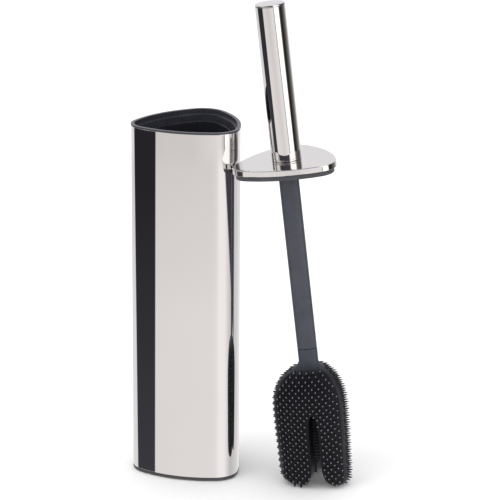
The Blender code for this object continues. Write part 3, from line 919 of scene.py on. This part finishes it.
def upright_walls(s):
    """Walls, dark on the right, with a grey gap and a bright panel that lean together."""
    walls = s.bands([(90, shade(GREY, 0.86)), (165, shade(GREY, 0.86)), (228, shade(WARM, 0.74)),
                     (270, shade(WARM, 0.76)), (305, shade(WARM, 0.94)), (318, shade(WARM, 0.92)),
                     (357, (0.10, 0.095, 0.09)), (368, (0.018, 0.017, 0.015)),
                     (381, (0.04, 0.038, 0.033)), (403, (0.17, 0.165, 0.155)),
                     (420, (0.42, 0.415, 0.41)), (440, shade(GREY, 0.95))])
    gap_edges = s.past(312, -4.0, 4.0, -9.0), s.past(321, -4.0, 3.0, -9.0)
    panel_edges = s.past(319, -3.6, 2.5, -9.0), s.past(359, -2.0, 4.0, -8.0)
    walls = s.panel(walls, (0.34, 0.33, 0.325), *gap_edges)
    return s.panel(walls, PANEL, *panel_edges)


def black_flag(s, back):
    """The flag on the left, a little paler towards its foot."""
    depth = s.math("MULTIPLY", s.math("ADD", s.height, 15.0), -0.16, clamp=True)
    flag = s.mix(depth, FLAG, (0.050, 0.052, 0.062))
    return s.panel(back, flag, s.past(168.5, -2.1, 3.0), s.past(228.0, 0.33, 1.0))


def ceiling(s):
    """The ceiling, dark above the camera and bright to its right."""
    return s.bands([(90, shade(COOL, 0.85)), (168, shade(COOL, 0.85)), (176, (0.16, 0.15, 0.13)),
                    (180, (0.6, 0.58, 0.53)), (200, (0.6, 0.58, 0.53)), (215, (1.1, 1.1, 1.05)),
                    (236, (0.055, 0.053, 0.07)), (308, (0.07, 0.068, 0.075)), (316, (1.5, 1.5, 1.5)),
                    (355, PANEL), (366, (0.2, 0.18, 0.17)), (405, (0.07, 0.07, 0.07)),
                    (425, (0.25, 0.25, 0.25)), (440, shade(COOL, 0.85))])


def studio_world():
    """White for light and for the background, and a drawn studio for the steel to mirror."""
    world = bpy.data.worlds.new("studio")
    bpy.context.scene.world = world
    world.use_nodes = True
    s = Surroundings(world)
    around = s.mix(s.beyond(s.height, -14.2, 0.5), white_table(s), upright_walls(s))
    around = black_flag(s, around)
    around = s.mix(s.beyond(s.height, 2.0, 2.0), around, ceiling(s))
    rays = s.add("ShaderNodeLightPath").outputs["Is Glossy Ray"]
    colour = s.mix(rays, (1.23, 1.23, 1.23), around)
    background = s.add("ShaderNodeBackground", {"Color": colour}).outputs[0]
    s.add("ShaderNodeOutputWorld", {"Surface": background})


def softbox(name, place, aim, size, power):
    light = bpy.data.lights.new(name, "AREA")
    light.shape = "RECTANGLE"
    light.size, light.size_y = size
    light.energy = power
    obj = linked(name, light)
    obj.location = place
    obj.rotation_euler = (Vector(aim) - Vector(place)).to_track_quat("-Z", "Y").to_euler()
    obj.visible_glossy = False


def studio_floor():
    bm = bmesh.new()
    bmesh.ops.create_grid(bm, x_segments=1, y_segments=1, size=12.0)
    floor = mesh_object("floor", bm)
    n = Nodes("floor_white")
    cloud = n.noise(3.0)
    n.set(Base_Color=n.ramp(cloud, [(0.0, (0.93, 0.93, 0.93)), (1.0, (0.94, 0.94, 0.94))]),
          Roughness=0.9, Specular_IOR_Level=0.0)
    floor.data.materials.append(n.material)
    floor.visible_glossy = False


def camera():
    data = bpy.data.cameras.new("camera")
    data.lens = CAMERA_LENS
    data.sensor_width = 36.0
    data.clip_end = 60.0
    obj = linked("camera", data)
    below, yaw, roll = (math.radians(angle) for angle in CAMERA_TURN)
    turn = (Matrix.Rotation(yaw, 4, "Z") @ Matrix.Rotation(math.pi / 2 - below, 4, "X")
            @ Matrix.Rotation(roll, 4, "Z"))
    obj.matrix_world = Matrix.Translation(CAMERA_PLACE) @ turn
    bpy.context.scene.camera = obj


# ------------------------------------------------------------------ build
def main():
    bpy.context.scene.view_settings.view_transform = "Standard"
    steel = polished_steel("sleeve_mirror_steel")
    brush_steel = polished_steel("lid_mirror_steel")
    outer_sleeve(steel)
    rim_ring(moulded_plastic("rim_grey_plastic", (0.036, 0.037, 0.047), 0.27, 0.00001))
    inner_bucket(moulded_plastic("bucket_grey_plastic", (0.016, 0.0165, 0.023), 0.36, 0.00001))
    base_tray(moulded_plastic("tray_dark_plastic", (0.05, 0.05, 0.055)))
    lid_plate(brush_steel)
    lid_plug(moulded_plastic("plug_grey_plastic", (0.050, 0.052, 0.062)))
    handle_ring(brush_steel)
    handle_tube(brush_steel)
    handle_cap(brush_steel)
    shaft(moulded_plastic("shaft_slate_plastic", (0.048, 0.052, 0.069)))
    # the head skin has painted shade between the bristles and a painted lighter neck; the bristles have
    # a painted highlight at their tips
    silicone_head(silicone("head_charcoal_silicone_painted_shade_light", (0.0060, 0.0064, 0.0100), (0.017, 0.018, 0.027),
                           (0.050, 0.054, 0.072), 0.108),
                  bristle_silicone_painted_highlight("bristle_silicone_painted_highlight", (0.008, 0.0085, 0.011), (0.24, 0.24, 0.26)))
    keep_node("non_slip_pad", pad_rubber("pad_rubber"))
    keep_node("ballast_plate", turned_metal("ballast_iron", (0.20, 0.20, 0.20), 0.6, 200.0))
    for k in range(1, 4):
        keep_node(f"base_screw_{k}", turned_metal(f"screw_steel_{k}", (0.6, 0.6, 0.6), 0.3, 500.0))
    for name in ("tie_stud", "stud_washer", "stud_nut"):
        keep_node(name, turned_metal(f"{name}_steel", (0.6, 0.6, 0.6), 0.3, 500.0))
    keep_node("handle_insert", moulded_plastic("insert_black_plastic", (0.04, 0.04, 0.04)))
    keep_node("head_core", moulded_plastic("core_grey_plastic", (0.12, 0.12, 0.13)))
    studio_world()
    studio_floor()
    softbox("key", (-1.2, -1.6, 2.2), (0.03, 0.0, 0.15), (1.4, 1.4), 10.0)
    camera()


main()
